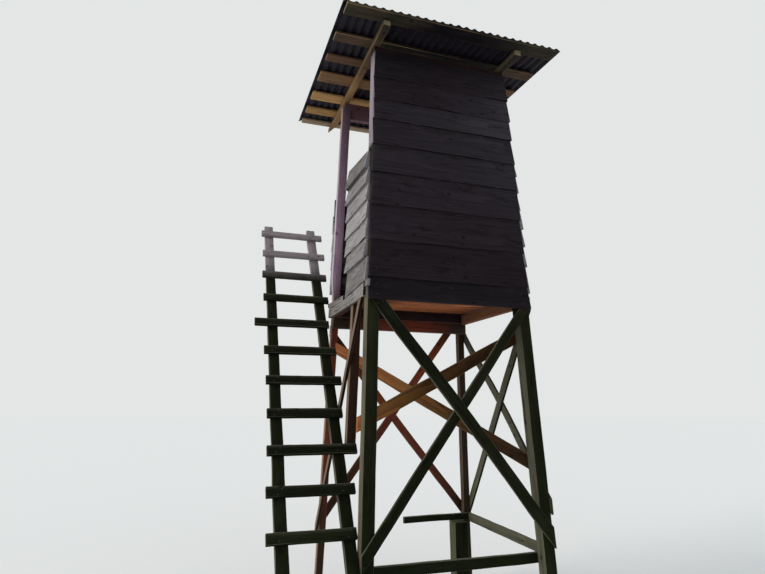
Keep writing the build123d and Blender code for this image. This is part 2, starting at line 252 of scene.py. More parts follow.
def makeFloor():
    material, shader, surface = newMaterial("paleFloor")
    seen = shader.node("ShaderNodeLightPath", out="Is Camera Ray")
    shader.feed(surface.inputs["Base Color"], shader.mix(seen, light["floorTone"], light["floorSeen"]))
    surface.inputs["Roughness"].default_value = light["floorRoughness"]
    bm = bmesh.new()
    bmesh.ops.create_circle(
        bm, cap_ends=True, segments=light["floorSides"], radius=light["floorRadius"]
    )
    mesh = bpy.data.meshes.new("studioFloor")
    bm.to_mesh(mesh)
    bm.free()
    mesh.materials.append(material)
    ground = bpy.data.objects.new("studioFloor", mesh)
    scene.collection.objects.link(ground)


scene.view_settings.view_transform = "Standard"
makeCamera()
makeLight()
makeFloor()
print("camera, light and floor made")


# wood finishes
# tints: colours from shade 0 to shade 1, moved along by slow noise as far as drift says
# silver: how far blotches turn to the silver and lit tone; bleachSide and bleachTop:
# how far left and upper faces turn to it, as painted light from the left and from above;
# paintedShadeHeights: heights between which the left faces keep none of it, as painted shade
# endTone and endMix: the tone of saw-cut ends, also of painted shade on board undersides,
# and how much of it; wearTone: rubbed edges
# band: heights between which a tone comes in and fades again, and its own silver and lit tone
woodLooks = {
    "weathered": {
        "tints": ramp((0.0, 14, 18, 7), (0.35, 30, 32, 17), (0.7, 60, 56, 44), (1.0, 116, 108, 94)),
        "contrast": 0.75, "rings": 0.2, "ringSpacing": 0.012, "drift": 0.26,
        "cracks": 0.9, "knots": 0.25, "moss": 0.2, "roughness": 0.86, "bump": 0.7,
        "silver": 0.05, "silverTone": srgb(106, 104, 88), "bleachSide": 0.7, "bleachTop": 0.9,
        "wearTone": srgb(104, 100, 84), "endTone": srgb(70, 66, 50), "endMix": 0.7,
        "paintedShadeHeights": (2.34, 2.46, 3.78, 3.84),
    },
    "stained": {
        "tints": ramp(
            (0.0, 40, 26, 29), (0.2, 50, 38, 30), (0.4, 108, 56, 44),
            (0.6, 134, 68, 40), (0.8, 44, 35, 22), (1.0, 132, 84, 58),
        ),
        "contrast": 0.6, "rings": 0.2, "ringSpacing": 0.012, "drift": 0.14,
        "cracks": 0.6, "knots": 0.2, "moss": 0.12, "roughness": 0.72, "bump": 0.5,
        "silver": 0.06, "silverTone": srgb(130, 112, 92), "bleachSide": 0.3, "bleachTop": 0.6,
        "wearTone": srgb(140, 112, 86), "endTone": srgb(56, 42, 32), "endMix": 0.7,
    },
    "fresh": {
        "tints": ramp((0.0, 26, 22, 12), (0.35, 58, 37, 18), (0.7, 114, 76, 38), (1.0, 184, 112, 70)),
        "contrast": 0.65, "rings": 0.5, "ringSpacing": 0.03, "drift": 0.22,
        "cracks": 0.3, "knots": 0.5, "moss": 0.0, "roughness": 0.72, "bump": 0.4,
        "silver": 0.04, "silverTone": srgb(140, 108, 76), "bleachSide": 0.1, "bleachTop": 0.3,
        "wearTone": srgb(150, 112, 70), "endTone": srgb(140, 100, 62), "endMix": 0.7,
    },
    "ply": {
        # the darkest stop and the dark end tone give the floor's painted shade at its left part and
        # edges
        "tints": ramp((0.0, 52, 36, 28), (0.25, 128, 74, 48), (0.5, 166, 98, 64), (1.0, 206, 134, 84)),
        "contrast": 0.85, "rings": 0.7, "ringSpacing": 0.055, "drift": 0.8,
        "cracks": 0.15, "knots": 0.5, "moss": 0.0, "roughness": 0.7, "bump": 0.3,
        "silver": 0.06, "silverTone": srgb(170, 126, 92), "bleachSide": 0.0, "bleachTop": 0.5,
        "wearTone": srgb(150, 112, 80), "endTone": srgb(44, 34, 26), "endMix": 1.0,
    },
    "dark": {
        # the light upper stops give the back wall's painted light at its upper right
        "tints": ramp(
            (0.0, 26, 23, 27), (0.15, 36, 29, 33), (0.35, 42, 36, 42),
            (0.6, 50, 45, 51), (1.0, 74, 70, 75),
        ),
        "contrast": 0.75, "rings": 0.25, "ringSpacing": 0.018, "drift": 0.3,
        "cracks": 0.7, "knots": 0.3, "moss": 0.1, "roughness": 0.8, "bump": 0.6,
        "silver": 0.1, "silverTone": srgb(70, 62, 68), "bleachSide": 0.1, "bleachTop": 0.6,
        "wearTone": srgb(64, 55, 56), "endTone": srgb(150, 138, 146), "endMix": 0.7,
    },
    "grey": {
        "tints": ramp((0.0, 96, 92, 90), (0.5, 138, 134, 134), (1.0, 172, 168, 168)),
        "contrast": 0.55, "rings": 0.3, "ringSpacing": 0.018, "drift": 0.35,
        "cracks": 1.0, "knots": 0.3, "moss": 0.1, "roughness": 0.88, "bump": 0.8,
        "silver": 0.35, "silverTone": srgb(170, 169, 172), "bleachSide": 0.0, "bleachTop": 0.2,
        # its dark end tone, on the front and right parapets' undersides, is painted shade under the
        # laps
        "wearTone": srgb(196, 192, 188), "endTone": srgb(36, 33, 42), "endMix": 1.0,
    },
    "roof": {
        # the darkest stop gives the painted shade on the two back battens
        "tints": ramp(
            (0.0, 25, 22, 26), (0.1, 52, 48, 40), (0.22, 84, 66, 56), (0.45, 118, 88, 66),
            (0.7, 190, 148, 98), (0.85, 158, 122, 76), (1.0, 152, 136, 118),
        ),
        "contrast": 0.5, "rings": 0.3, "ringSpacing": 0.016, "drift": 0.1,
        "cracks": 0.5, "knots": 0.3, "moss": 0.0, "roughness": 0.78, "bump": 0.5,
        "silver": 0.08, "silverTone": srgb(164, 146, 116), "bleachSide": 0.3, "bleachTop": 0.4,
        "wearTone": srgb(184, 152, 104), "endTone": srgb(160, 146, 126), "endMix": 0.7,
    },
}
woodLooks["ladder"] = {
    **woodLooks["weathered"],
    "paintedShadeHeights": None,
    "band": {
        "heights": (2.9, 3.2, 8.0, 9.0), "amount": 0.9,
        "tone": srgb(150, 140, 144), "silverTone": srgb(170, 160, 166),
    },
}
woodLooks["post"] = {
    **woodLooks["stained"],
    "silverTone": srgb(150, 120, 104), "bleachSide": 0.9,
    "band": {
        "heights": (2.58, 2.95, 3.3, 5.2), "amount": 0.96,
        "tone": srgb(180, 148, 172), "silverTone": srgb(194, 188, 198),
    },
}
woodLooks["corner"] = {
    **woodLooks["weathered"],
    "silverTone": srgb(116, 110, 92), "paintedShadeHeights": (2.61, 2.63, 3.78, 3.84),
    "band": {
        "heights": (3.8, 3.86, 9.0, 9.5), "amount": 0.85,
        "tone": srgb(150, 140, 148), "silverTone": srgb(154, 145, 152),
    },
}
woodLooks["front"] = {
    **woodLooks["grey"],
    # the darkest stop is the painted shade on the inner face
    "tints": ramp((0.0, 44, 31, 37), (0.2, 96, 92, 90), (0.6, 138, 134, 134), (1.0, 176, 172, 174)),
}
woodLooks["side"] = {**woodLooks["grey"], "endTone": srgb(132, 128, 131)}
woodLooks["block"] = {**woodLooks["grey"], "endTone": srgb(136, 131, 130), "endMix": 0.8}
# dark saw-cut ends, and no painted light on the upper left face: painted shade in the corner
woodLooks["rim"] = {
    **woodLooks["stained"], "endTone": srgb(30, 24, 22), "paintedShadeHeights": (2.59, 2.605, 2.7, 2.75),
}
woodLooks["brace"] = {
    **woodLooks["stained"],
    "tints": ramp((0.0, 28, 19, 14), (0.5, 46, 30, 22), (1.0, 70, 44, 34)),
    "silverTone": srgb(132, 112, 96), "bleachSide": 0.8, "wearTone": srgb(96, 78, 62),
}
woodLooks["plank"] = {
    **woodLooks["grey"],
    "tints": ramp((0.0, 96, 92, 84), (0.5, 124, 119, 114), (1.0, 152, 148, 146)),
    "silverTone": srgb(150, 146, 143),
}

# noise in the wood: its stretch along, across and through the grain (of the moss: along X, Y
# and Z), its detail and its roughness
woodNoise = {
    "ringDrift": ((1.6, 9.0, 9.0), 2.0, 0.5),
    "streaks": ((1.1, 30.0, 30.0), 4.0, 0.6),
    "fibres": ((9.0, 240.0, 240.0), 2.0, 0.6),
    "blotches": ((2.2, 7.0, 7.0), 3.0, 0.6),
    "slow": ((1.3, 3.0, 3.0), 2.0, 0.5),
    "cracks": ((0.9, 26.0, 26.0), 3.0, 0.55),
    "crackPlaces": ((3.0, 11.0, 11.0), 1.0, 0.5),
    "moss": ((7.0, 7.0, 5.0), 4.0, 0.65),
}
# where each of these comes in, and where it is full
woodLimits = {
    "silver": (0.45, 0.75),
    "leftFacing": (0.5, 0.85),
    "upFacing": (0.6, 0.9),
    "knotRadius": (0.12, 0.24),
    "crackWidth": (0.004, 0.02),
    "crackPlaces": (0.46, 0.6),
    "rubbed": (0.75, 1.15),
    "moss": (0.5, 0.75),
    "mossHeight": (0.1, 1.9),
}
woodShape = {
    "ringUnit": 0.314,  # spacing of a wave texture's rings at scale 1
    "ringBend": (0.0, 0.05, 0.09),
    "ringDistortion": 1.5,
    "streakShare": 0.65,
    "fibreShare": 0.35,
    "knotCells": (9.0, 13.0, 13.0),
    "knotStrength": 0.75,
    "knotTone": 0.35,
    "crackTone": 0.3,
    "rubbedStrength": 0.6,
    "mossTone": srgb(40, 50, 20),
    "bumpDepth": 0.004,
    "specular": 0.08,
}


def growthRings(shader, grain, spacing):
    # Rings about a centre line below the face, bent by slow noise
    bend = shader.scale(woodShape["ringBend"], shader.field(grain, *woodNoise["ringDrift"]))
    bent = shader.node("ShaderNodeVectorMath", {"operation": "ADD"}, grain, bend)
    return shader.node(
        "ShaderNodeTexWave",
        {"wave_type": "RINGS", "rings_direction": "X", "wave_profile": "SAW"},
        Vector=bent, Scale=woodShape["ringUnit"] / spacing,
        Distortion=woodShape["ringDistortion"], Detail=2.0, Detail_Scale=1.5, out="Fac",
    )


def addBand(shader, look, height, tint):
    # The tint and the silver and lit tone, changed between the heights of the look's band
    band = look.get("band")
    if not band:
        return tint, look["silverTone"]
    start, full, fade, gone = band["heights"]
    fading = shader.node("ShaderNodeMapRange", None, height, fade, gone)
    inBand = shader.between(height, start, full) * (1.0 - fading)
    tint = shader.mix(inBand * band["amount"], tint, band["tone"])
    return tint, shader.mix(inBand, look["silverTone"], band["silverTone"])


def silverAndPaintedLight(shader, look, height, blotches, streaks):
    # Silvery weathering in long blotches, and painted light: the same tone on left and upper faces
    normal = shader.node("ShaderNodeNewGeometry", out="Normal")
    silver = shader.between(blotches, *woodLimits["silver"]) * look["silver"] * (0.5 + streaks)
    leftward = 0.0 - shader.part(normal, "X")
    side = shader.between(leftward, *woodLimits["leftFacing"]) * look["bleachSide"]
    # painted shade: between these heights the left faces keep no painted light
    if look.get("paintedShadeHeights"):
        low, lowEnd, highStart, high = look["paintedShadeHeights"]
        above = shader.between(height, low, lowEnd)
        side = side * (1.0 - above * (1.0 - shader.between(height, highStart, high)))
    upward = shader.part(normal, "Z")
    top = shader.between(upward, *woodLimits["upFacing"]) * look["bleachTop"]
    paintedLight = side.larger(top) * (0.55 + streaks * 0.9)
    return (silver + paintedLight).smaller(1.0)


def knots(shader, look, grain):
    # Round knots in some cells of a pattern
    cells = shader.stretch(grain, woodShape["knotCells"])
    near = shader.node(
        "ShaderNodeTexVoronoi", {"feature": "F1"},
        Vector=cells, Scale=1.0, Randomness=0.9, out="Distance",
    )
    lot = shader.node("ShaderNodeSeparateColor", None, near.sibling("Color"), out="Red")
    inside = 1.0 - shader.between(near, *woodLimits["knotRadius"])
    return inside * lot.below(look["knots"])


def cracks(shader, look, grain):
    # Drying checks along the grain, in some places
    middle = abs(shader.field(grain, *woodNoise["cracks"]) - 0.5)
    line = 1.0 - shader.between(middle, *woodLimits["crackWidth"])
    where = shader.field(grain, *woodNoise["crackPlaces"])
    return line * shader.between(where, *woodLimits["crackPlaces"]) * look["cracks"]


def moss(shader, look, place, height):
    # Green growth, more of it near the ground
    patches = shader.field(place, *woodNoise["moss"])
    low = 1.0 - shader.between(height, *woodLimits["mossHeight"])
    growth = shader.between(patches + low * 0.25, *woodLimits["moss"])
    return growth * (0.15 + low) * look["moss"]


def woodFinish(name, look):
    material, shader, surface = newMaterial(name)
    grain = shader.attribute("grain", "Vector")
    shade, wear, cut = [shader.attribute(word) for word in ("shade", "wear", "cut")]
    place = shader.node("ShaderNodeTexCoord", out="Object")
    height = shader.part(place, "Z")
    rings = growthRings(shader, grain, look["ringSpacing"])
    streaks, fibres, blotches, slow = [
        shader.field(grain, *woodNoise[word]) for word in ("streaks", "fibres", "blotches", "slow")
    ]
    rest = 1.0 - look["rings"]
    pattern = rings * look["rings"] + streaks * (woodShape["streakShare"] * rest)
    pattern = pattern + fibres * (woodShape["fibreShare"] * rest)

    drifted = shade + (slow - 0.5) * look["drift"]
    tint = shader.node("ShaderNodeValToRGB", {"stops": look["tints"]}, drifted, out="Color")
    tint, silverTone = addBand(shader, look, height, tint)
    contrast = look["contrast"]
    colour = shader.scale(tint, pattern * contrast * 2.0 + (1.0 - contrast))
    # silver weathering, and painted light on left and upper faces
    silverAndLight = silverAndPaintedLight(shader, look, height, blotches, streaks)
    colour = shader.mix(silverAndLight, colour, shader.scale(silverTone, 0.65 + pattern * 0.7))
    knot = knots(shader, look, grain) * woodShape["knotStrength"]
    colour = shader.mix(knot, colour, shader.scale(tint, woodShape["knotTone"]))
    crack = cracks(shader, look, grain)
    colour = shader.mix(crack, colour, shader.scale(tint, woodShape["crackTone"]))

    # rubbed edges, saw-cut ends and the painted shade on board undersides, and moss
    rubbed = wear * shader.between(streaks + blotches, *woodLimits["rubbed"])
    colour = shader.mix(rubbed * woodShape["rubbedStrength"], colour, look["wearTone"])
    endTone = shader.scale(look["endTone"], 0.7 + rings * 0.5)
    colour = shader.mix(cut * look["endMix"], colour, endTone)
    if look["moss"] > 0:
        colour = shader.mix(moss(shader, look, place, height), colour, woodShape["mossTone"])

    shader.feed(surface.inputs["Base Color"], colour)
    rough = look["roughness"] + 0.12 * (fibres - 0.5) + crack * 0.1
    shader.feed(surface.inputs["Roughness"], rough)
    relief = rings * 0.2 + streaks * 0.35 + fibres * 0.35 - crack * 0.9
    bump = shader.bump(look["bump"], woodShape["bumpDepth"], relief)
    shader.feed(surface.inputs["Normal"], bump)
    surface.inputs["Specular IOR Level"].default_value = woodShape["specular"]
    return material


wood = {name: woodFinish(name + "Wood", look) for name, look in woodLooks.items()}

# roof sheets: tones, and noise as in the wood but along X, Y and Z
sheetLook = {
    "under": srgb(19, 14, 26),
    "worn": srgb(44, 36, 50),
    "lichen": srgb(126, 128, 104),
    "dirt": srgb(40, 33, 30),
    "cloud": ((3.0, 1.4, 3.0), 4.0, 0.6),
    "speck": ((60.0, 45.0, 60.0), 3.0, 0.7),
    "runs": ((28.0, 1.5, 20.0), 3.0, 0.6),
    "wornAmount": 0.55,
    "dirtAmount": 0.5,
    "lichenAmount": 0.7,
    "roughness": 0.45,
    "specular": 0.2,
    "bump": 0.35,
    "bumpDepth": 0.002,
}
steelLook = {
    "rust": srgb(44, 32, 27),
    "grey": srgb(52, 49, 48),
    "spots": ((220.0, 220.0, 220.0), 3.0, 0.6),
    "bare": 0.35,
    "roughness": 0.6,
    "bump": 0.4,
    "bumpDepth": 0.0006,
}


def sheetFinish():
    material, shader, surface = newMaterial("corrugatedSheet")
    place = shader.node("ShaderNodeTexCoord", out="Object")
    facing = shader.node("ShaderNodeNewGeometry", out="Normal")
    upward = shader.between(shader.part(facing, "Z"), 0.0, 0.5)
    cloud, speck, runs = [
        shader.field(place, *sheetLook[word]) for word in ("cloud", "speck", "runs")
    ]
    worn = shader.between(cloud, 0.35, 0.75) * sheetLook["wornAmount"]
    colour = shader.mix(worn, sheetLook["under"], sheetLook["worn"])
    dirt = shader.between(runs, 0.5, 0.75) * sheetLook["dirtAmount"]
    colour = shader.mix(dirt, colour, sheetLook["dirt"])
    patches = shader.between(speck + cloud * 0.5, 0.82, 0.98) * upward
    colour = shader.mix(patches * sheetLook["lichenAmount"], colour, sheetLook["lichen"])
    shader.feed(surface.inputs["Base Color"], colour)
    shader.feed(surface.inputs["Roughness"], sheetLook["roughness"] + 0.25 * runs + 0.1 * patches)
    surface.inputs["Specular IOR Level"].default_value = sheetLook["specular"]
    bump = shader.bump(sheetLook["bump"], sheetLook["bumpDepth"], speck + cloud * 0.5)
    shader.feed(surface.inputs["Normal"], bump)
    return material


def steelFinish():
    material, shader, surface = newMaterial("rustySteel")
    place = shader.node("ShaderNodeTexCoord", out="Object")
    spots = shader.field(place, *steelLook["spots"])
    rust = shader.between(spots, 0.42, 0.58)
    colour = shader.mix(rust, steelLook["grey"], steelLook["rust"])
    shader.feed(surface.inputs["Base Color"], colour)
    shader.feed(surface.inputs["Metallic"], (1.0 - rust) * steelLook["bare"])
    shader.feed(surface.inputs["Roughness"], steelLook["roughness"] + rust * 0.35)
    bump = shader.bump(steelLook["bump"], steelLook["bumpDepth"], spots)
    shader.feed(surface.inputs["Normal"], bump)
    return material


corrugated = sheetFinish()
rustySteel = steelFinish()
print("finishes made")


# shaping helpers
shaping = {
    "joinWithin": 1e-5,  # vertices nearer than this are one
    "flatWithin": math.radians(0.6),  # faces that meet flatter than this are one
    "steep": 0.85,  # a timber that rises more than this has its grain run up
    "slanted": 0.05,  # one that reaches sideways more than this, to the right; others, away
    "sharpEdge": 0.3,  # edges that turn more than this are rounded, in radians
    "facing": 0.3,  # a face that looks along the grain more than this is an end
    "grainShifts": ((-9, 9), (-0.05, 0.05), (0.03, 0.12)),  # along, across and through
    "wavesPerMetre": (2.6, 14.0),
    "quickShare": 0.5,
    "seeds": 90,  # each piece takes its noise from another place, up to this far off
}


def copyOf(nodeName):
    # The node's own form, with its loose triangles joined into whole faces
    bm = bmesh.new()
    bm.from_mesh(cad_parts[nodeName].data)
    bmesh.ops.remove_doubles(bm, verts=bm.verts, dist=shaping["joinWithin"])
    bmesh.ops.dissolve_limit(
        bm, angle_limit=shaping["flatWithin"], verts=bm.verts, edges=bm.edges
    )
    return bm


def axesOf(bm):
    # The way of the grain (up, or to the right, or away), the wide way across it, and through it
    edges = [e.verts[1].co - e.verts[0].co for e in bm.edges]
    along = max(edges, key=lambda edge: edge.length).normalized()
    if abs(along.z) > shaping["steep"]:
        sense = along.z
    else:
        sense = along.x if abs(along.x) > shaping["slanted"] else along.y
    if sense < 0:
        along = -along
    sideways = [edge - along * edge.dot(along) for edge in edges]
    across = max(sideways, key=lambda edge: edge.length).normalized()
    return along, across, along.cross(across)


def reachOf(bm, axis):
    # The lowest and the highest place along an axis
    places = [v.co.dot(axis) for v in bm.verts]
    return min(places), max(places)


def clamp(value):
    return min(1.0, max(0.0, value))


def islandsOf(bm):
    # The separate solids of a mesh, as lists of vertices
    met = set()
    groups = []
    for start in bm.verts:
        if start in met:
            continue
        met.add(start)
        group = [start]
        for vert in group:
            for edge in vert.link_edges:
                other = edge.other_vert(vert)
                if other not in met:
                    met.add(other)
                    group.append(other)
        groups.append(group)
    return groups


def roundEdges(bm, radius, along):
    # Rounds the sharp edges and notes them, and the saw-cut ends, for the finish
    wear = bm.loops.layers.float.new("wear")
    cut = bm.loops.layers.float.new("cut")
    bm.normal_update()
    limit = shaping["sharpEdge"]
    sharp = [e for e in bm.edges if e.is_manifold and e.calc_face_angle(0) > limit]
    made = bmesh.ops.bevel(
        bm, geom=sharp, offset=radius, segments=2, profile=0.5, affect="EDGES",
        material=-1, clamp_overlap=True,
    )
    bm.normal_update()
    rounded = set(made["faces"])
    for face in bm.faces:
        isEnd = face not in rounded and abs(face.normal.dot(along)) > shaping["facing"]
        for loop in face.loops:
            loop[wear] = 1.0 if face in rounded else 0.0
            loop[cut] = 1.0 if isEnd else 0.0


def cutAt(bm, place, normal, **cleared):
    # A cut right through a mesh
    geom = bm.verts[:] + bm.edges[:] + bm.faces[:]
    bmesh.ops.bisect_plane(
        bm, geom=geom, dist=shaping["joinWithin"], plane_co=place, plane_no=normal, **cleared
    )


def cutAcross(bm, along, spacing):
    # Loops across the piece, so that it can waver along its length
    low, high = reachOf(bm, along)
    count = max(1, round((high - low) / spacing))
    for step in range(1, count):
        cutAt(bm, along * (low + (high - low) * step / count), along)


def shadeAt(shades, share):
    # Between shades that are set at even steps along a piece
    if len(shades) == 1:
        return shades[0]
    place = share * (len(shades) - 1)
    step = min(int(place), len(shades) - 2)
    return shades[step] + (shades[step + 1] - shades[step]) * (place - step)


def markGrain(bm, axes, shades, chance, spread=0.0):
    # Grain coordinates of its own for each solid, and shades along it
    grain = bm.verts.layers.float_vector.new("grain")
    tone = bm.verts.layers.float.new("shade")
    for group in islandsOf(bm):
        middle = sum((v.co for v in group), Vector()) / len(group)
        shift = Vector([chance.uniform(*limits) for limits in shaping["grainShifts"]])
        own = chance.uniform(-spread, spread)
        reach = [axes[0].dot(v.co) for v in group]
        low = min(reach)
        length = max(reach) - low
        for vert in group:
            local = vert.co - middle
            vert[grain] = Vector(axis.dot(local) for axis in axes) + shift
            share = (axes[0].dot(vert.co) - low) / length
            vert[tone] = clamp(shadeAt(shades, share) + own)


def waver(bm, along, amount, chance):
    # Sawn timber is never quite straight: slow bends, and quick ones that are smaller
    seed = Vector([chance.uniform(0, shaping["seeds"]) for _ in range(3)])
    slowWaves, quickWaves = shaping["wavesPerMetre"]
    for vert in bm.verts:
        slow = noise.noise_vector(vert.co * slowWaves + seed)
        quick = noise.noise_vector(vert.co * quickWaves + seed)
        push = slow * amount + quick * amount * shaping["quickShare"]
        vert.co += push - along * push.dot(along)


def finishPiece(bm, name, material, nodes=(), sharpAngle=38):
    # Makes the mesh a piece of the scene; sharpAngle is in degrees
    mesh = bpy.data.meshes.new(name)
    bm.normal_update()
    surfaces[name] = BVHTree.FromBMesh(bm)
    bm.to_mesh(mesh)
    bm.free()
    mesh.materials.append(material)
    mesh.polygons.foreach_set("use_smooth", [True] * len(mesh.polygons))
    mesh.set_sharp_from_angle(angle=math.radians(sharpAngle))
    piece = bpy.data.objects.new(name, mesh)
    scene.collection.objects.link(piece)
    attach(piece, "root")
    if nodes:
        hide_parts(*nodes)


def pieceName(nodeName, ending):
    first, *words = nodeName.split("_")
    return first + "".join(word.capitalize() for word in words) + ending


# nails
nailSize = {"radius": 0.0055, "height": 0.0022, "sides": 9, "sunk": 0.0006, "domed": 0.72}
nails = bmesh.new()


def setNail(name, start, direction, radius=nailSize["radius"]):
    # A nail head where a ray from the start meets the piece
    ray = Vector(direction).normalized()
    spot, facing, _, _ = surfaces[name].ray_cast(Vector(start), ray)
    if spot is None:
        return
    turn = facing.to_track_quat("Z", "Y").to_matrix().to_4x4()
    lift = nailSize["height"] / 2 - nailSize["sunk"]
    place = Matrix.Translation(spot + facing * lift) @ turn
    bmesh.ops.create_cone(
        nails, cap_ends=True, segments=nailSize["sides"], radius1=radius,
        radius2=radius * nailSize["domed"], depth=nailSize["height"], matrix=place,
    )


# directions: the ladder stands at the left, and the closed wall is the back
toRight = (1, 0, 0)
toLeft = (-1, 0, 0)
toFront = (0, 1, 0)
toBack = (0, -1, 0)


def plain(*shades):
    # Boards, rungs or battens of one shade each
    return [(shade,) for shade in shades]


# straight timbers, each from its own node
# node: wood, record slot, shades 0-1 along it, how far it wavers,
# and for nailed ones the side that the nails go in from, and how far from the ends
timbers = {
    "back_left_leg": ("corner", "weathered_timber", (0.0, 0.15, 0.4, 0.1, 0.0), 0.002),
    "back_right_leg": ("weathered", "weathered_timber", (0.1, 0.3, 0.3), 0.002),
    "front_left_leg": (
        "post", "stained_timber", (0.2, 0.25, 0.35, 0.42, 0.5, 0.05, 0.0, 0.0, 0.0), 0.002,
    ),
    "front_right_leg": ("stained", "stained_timber", (0.2, 0.16, 0.0), 0.002),
    "front_right_foot_post": ("weathered", "weathered_timber", (0.0,), 0.003),
    "back_low_rail": ("weathered", "weathered_timber", (0.05,), 0.004, toBack, 0.05),
    "front_low_rail": ("weathered", "weathered_timber", (0.0,), 0.004, toFront, 0.05),
    "right_low_rail": ("weathered", "weathered_timber", (0.6,), 0.004, toRight, 0.05),
    "back_rim": ("stained", "stained_timber", (0.05,), 0.0016, toBack, 0.05),
    "front_rim": ("stained", "stained_timber", (0.0,), 0.0016, toFront, 0.05),
    # darker at its near end: painted shade in the corner by the back left leg
    "left_rim": ("rim", "stained_timber", (0.1, 0.2, 0.3), 0.0016, toLeft, 0.05),
    "right_rim": ("stained", "stained_timber", (1.0,), 0.0016, toRight, 0.05),
    "front_header": (
        "stained", "stained_timber", (0.1, 0.42, 0.45, 0.1), 0.0016, toFront, 0.06,
    ),
    "left_rim_board": ("plank", "grey_boards", (0.7, 0.6, 0.35), 0.003, toLeft, 0.05),
    "step_board": ("plank", "grey_boards", (0.55, 0.3), 0.003, toLeft, 0.05),
    "corner_block": ("block", "weathered_timber", (0.3,), 0.003),
    "left_parapet_stud": ("stained", "fresh_board", (0.2,), 0.0016),
    # the darkest shade is painted shade under the roof's back overhang
    "back_plate": ("stained", "stained_timber", (0.0,), 0.0016),
    "front_plate": ("post", "stained_timber", (0.3,), 0.0016, toFront, 0.03),
    "left_rafter": ("roof", "roof_timber", (0.1, 0.34, 0.6, 0.52, 0.5), 0.002),
    "right_rafter": ("roof", "roof_timber", (0.05, 0.3), 0.002),
    "left_ladder_rail": ("ladder", "weathered_timber", (0.05, 0.2, 0.3), 0.003),
    "right_ladder_rail": ("ladder", "weathered_timber", (0.05, 0.1, 0.35), 0.003),
    "ladder_strut": ("brace", "stained_timber", (0.35, 0.6, 0.8), 0.002),
    "back_brace_rising": (
        "weathered", "weathered_timber", (0.05, 0.2, 0.3), 0.003, toBack, 0.06,
    ),
    "back_brace_falling": (
        "weathered", "weathered_timber", (0.0, 0.25, 0.15), 0.003, toBack, 0.06,
    ),
    "front_brace_rising": (
        "stained", "stained_timber", (0.2, 0.4, 0.8), 0.003, toFront, 0.06,
    ),
    "front_brace_falling": (
        "stained", "stained_timber", (0.8, 0.5, 0.2), 0.003, toFront, 0.06,
    ),
    "right_brace_rising": (
        "weathered", "weathered_timber", (0.3, 0.4, 0.8), 0.003, toRight, 0.06,
    ),
    "right_brace_falling": ("weathered", "weathered_timber", (0.3, 0.3), 0.003, toRight, 0.06),
    "left_brace": ("brace", "stained_timber", (0.3, 0.3, 0.5), 0.002, toLeft, 0.06),
    "inner_brace": ("fresh", "fresh_board", (0.95, 0.5, 0.35, 0.35), 0.005, toFront, 0.06),
    "tower_brace": ("fresh", "fresh_board", (1.0, 0.75, 0.4, 0.1), 0.004, toLeft, 0.06),
    # darkest at its left edge: painted shade under the left rim
    "floor": ("ply", "fresh_board", (0.0, 0.0, 0.3, 0.6, 0.6, 0.55, 0.5, 0.45), 0.001),
}
timberShape = {"edge": 0.0035, "loops": 0.09}
endNailing = {"side": 0.45, "stagger": 0.012, "rayFrom": 0.4}

# the entry post above the floor stands a little further out than its leg, and is wider
post = {
    "from": 2.71,  # the height where it leaves the leg's line
    "over": 0.2,  # and the height over which it does
    "width": 0.065,
    "splay": 0.032,  # the leg's own, for each metre
    "shift": 0.0105,
    "lean": 0.006,  # for each metre
    "widen": 0.010,  # on each side
}


def leanPost(bm):
    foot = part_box("front_left_leg")[0].x + post["width"] / 2
    for vert in bm.verts:
        above = max(0.0, vert.co.z - post["from"])
        share = min(1.0, above / post["over"])
        side = -1 if vert.co.x < foot + post["splay"] * vert.co.z else 1
        vert.co.x += share * (side * post["widen"] - post["shift"] - post["lean"] * above)


def endNails(name, axes, ends, middle, halfWidth, outward, inset):
    # Two nails at each end of a board, put in from the outward side
    along, across, _ = axes
    outward = Vector(outward)
    for end, inwards in zip(ends, (1, -1)):
        for row in (0, 1):
            side = (row * 2 - 1) * halfWidth * endNailing["side"]
            place = end + inwards * (inset + row * endNailing["stagger"])
            step = along * (place - middle.dot(along))
            spot = middle + step + across * side + outward * endNailing["rayFrom"]
            setNail(name, spot, -outward)


def makeTimber(nodeName, chance, woodName, slotName, shades, wavering, nailedFrom=None, inset=0):
    bm = copyOf(nodeName)
    axes = axesOf(bm)
    ends = reachOf(bm, axes[0])
    low, high = reachOf(bm, axes[1])
    middle = sum((v.co for v in bm.verts), Vector()) / len(bm.verts)
    roundEdges(bm, timberShape["edge"], axes[0])
    cutAcross(bm, axes[0], timberShape["loops"])
    markGrain(bm, axes, shades, chance)
    waver(bm, axes[0], wavering, chance)
    if nodeName == "front_left_leg":
        leanPost(bm)
    name = pieceName(nodeName, "Timber")
    finishPiece(bm, name, wood[woodName], (nodeName,))
    if nailedFrom:
        endNails(name, axes, ends, middle, (high - low) / 2, nailedFrom, inset)


chance = random.Random(seedNumber)
for nodeName, row in timbers.items():
    makeTimber(nodeName, chance, *row)
print("timbers made")
